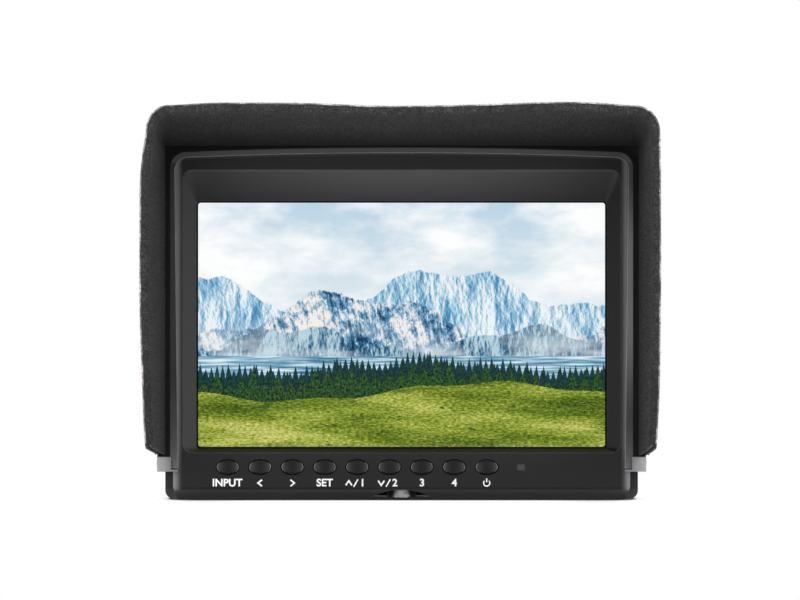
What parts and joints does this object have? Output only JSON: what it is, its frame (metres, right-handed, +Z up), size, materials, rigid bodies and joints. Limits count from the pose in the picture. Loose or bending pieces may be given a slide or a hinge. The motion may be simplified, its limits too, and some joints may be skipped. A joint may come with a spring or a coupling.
{
  "type": "camera field monitor with sun hood",
  "caption": "Flat on-camera monitor with a fold-flat three-panel sun hood, a row of oval keys, a battery plate and a tripod thread.",
  "frame": {"origin": "mouth of the tripod thread, in the middle of the underside", "axes": "+Z up, -Y out of the screen towards the viewer, +X to the viewer's right"},
  "size_m": [0.183, 0.1289, 0.1416],
  "materials": {
    "housing_plastic": "satin moulded ABS, near black",
    "frame_plastic": "satin moulded ABS, black",
    "display_glass": "matte polariser over a lit picture",
    "tray_metal": "plain pressed tray",
    "foam": "soft black foam",
    "circuit_board": "green solder mask",
    "dome_metal": "pressed snap domes",
    "smoked_window": "smoked acrylic",
    "brass": "turned brass",
    "plate_plastic": "fine textured black nylon",
    "spring_steel": "bright spring steel",
    "socket_plastic": "black moulding",
    "screw_steel": "blackened steel",
    "flat_cable": "amber polyimide",
    "key_plastic": "semi-gloss black caps",
    "clip_metal": "pressed light grey clip",
    "hood_cloth": "black woven nylon",
    "hood_felt": "black flocked felt",
    "stiffener": "stiff black board"
  },
  "bodies": {
    "monitor": {"front_bezel": "housing_plastic", "rear_cover": "housing_plastic", "display_panel": "display_glass", "lcd_backlight": "tray_metal", "lcd_gasket": "foam", "main_board": "circuit_board", "key_board": "circuit_board", "key_switches": "dome_metal", "led_window": "smoked_window", "tripod_insert": "brass", "battery_plate": "plate_plastic", "battery_contacts": "brass", "latch_spring": "spring_steel", "hdmi_socket": "spring_steel", "av_socket": "socket_plastic", "earphone_socket": "socket_plastic", "dc_socket": "socket_plastic", "speaker": "socket_plastic", "housing_screws": "screw_steel", "plate_screws": "screw_steel", "board_screws": "screw_steel", "display_ribbon": "flat_cable", "key_ribbon": "flat_cable"},
    "key_input": {"key_input": "key_plastic"},
    "key_left": {"key_left": "key_plastic"},
    "key_right": {"key_right": "key_plastic"},
    "key_set": {"key_set": "key_plastic"},
    "key_up": {"key_up": "key_plastic"},
    "key_down": {"key_down": "key_plastic"},
    "key_f3": {"key_f3": "key_plastic"},
    "key_f4": {"key_f4": "key_plastic"},
    "key_power": {"key_power": "key_plastic"},
    "battery_catch": {"battery_catch": "plate_plastic"},
    "hood_frame": {"hood_frame": "frame_plastic", "hood_clip_left": "clip_metal", "hood_clip_right": "clip_metal", "clip_rivets": "clip_metal", "left_fold_fabric": "hood_cloth", "right_fold_fabric": "hood_cloth", "top_fold_fabric": "hood_cloth"},
    "hood_left": {"left_board": "stiffener", "left_felt": "hood_felt", "left_cover": "hood_cloth"},
    "hood_right": {"right_board": "stiffener", "right_felt": "hood_felt", "right_cover": "hood_cloth"},
    "hood_top": {"top_board": "stiffener", "top_felt": "hood_felt", "top_cover": "hood_cloth", "corner_gusset_left": "hood_felt", "corner_gusset_right": "hood_felt"}
  },
  "joints": [
    {"name": "key_input_press", "type": "slide", "parent": "monitor", "child": "key_input", "axis": [0, 1, 0], "range_m": [0, 0.0005], "stiffness_N_per_m": 700, "springref_m": -0.0004},
    {"name": "key_left_press", "type": "slide", "parent": "monitor", "child": "key_left", "axis": [0, 1, 0], "range_m": [0, 0.0005], "stiffness_N_per_m": 700, "springref_m": -0.0004},
    {"name": "key_right_press", "type": "slide", "parent": "monitor", "child": "key_right", "axis": [0, 1, 0], "range_m": [0, 0.0005], "stiffness_N_per_m": 700, "springref_m": -0.0004},
    {"name": "key_set_press", "type": "slide", "parent": "monitor", "child": "key_set", "axis": [0, 1, 0], "range_m": [0, 0.0005], "stiffness_N_per_m": 700, "springref_m": -0.0004},
    {"name": "key_up_press", "type": "slide", "parent": "monitor", "child": "key_up", "axis": [0, 1, 0], "range_m": [0, 0.0005], "stiffness_N_per_m": 700, "springref_m": -0.0004},
    {"name": "key_down_press", "type": "slide", "parent": "monitor", "child": "key_down", "axis": [0, 1, 0], "range_m": [0, 0.0005], "stiffness_N_per_m": 700, "springref_m": -0.0004},
    {"name": "key_f3_press", "type": "slide", "parent": "monitor", "child": "key_f3", "axis": [0, 1, 0], "range_m": [0, 0.0005], "stiffness_N_per_m": 700, "springref_m": -0.0004},
    {"name": "key_f4_press", "type": "slide", "parent": "monitor", "child": "key_f4", "axis": [0, 1, 0], "range_m": [0, 0.0005], "stiffness_N_per_m": 700, "springref_m": -0.0004},
    {"name": "key_power_press", "type": "slide", "parent": "monitor", "child": "key_power", "axis": [0, 1, 0], "range_m": [0, 0.0005], "stiffness_N_per_m": 700, "springref_m": -0.0004},
    {"name": "battery_catch_press", "type": "slide", "parent": "monitor", "child": "battery_catch", "axis": [0, -1, 0], "range_m": [0, 0.0018], "stiffness_N_per_m": 500, "springref_m": -0.001, "deforming": ["latch_spring"]},
    {"name": "hood_lift", "type": "slide", "parent": "monitor", "child": "hood_frame", "axis": [0, 0, 1], "range_m": [0, 0.125]},
    {"name": "left_panel_fold", "type": "hinge", "parent": "hood_frame", "child": "hood_left", "pos_m": [-0.088, -0.0163, 0.07], "axis": [0, 0, 1], "range_deg": [0, 88]},
    {"name": "right_panel_fold", "type": "hinge", "parent": "hood_frame", "child": "hood_right", "pos_m": [0.088, -0.0202, 0.07], "axis": [0, 0, -1], "range_deg": [0, 88]},
    {"name": "top_panel_fold", "type": "hinge", "parent": "hood_frame", "child": "hood_top", "pos_m": [0, -0.0241, 0.1318], "axis": [1, 0, 0], "range_deg": [0, 94.6], "deforming": ["corner_gusset_left", "corner_gusset_right"]}
  ]
}
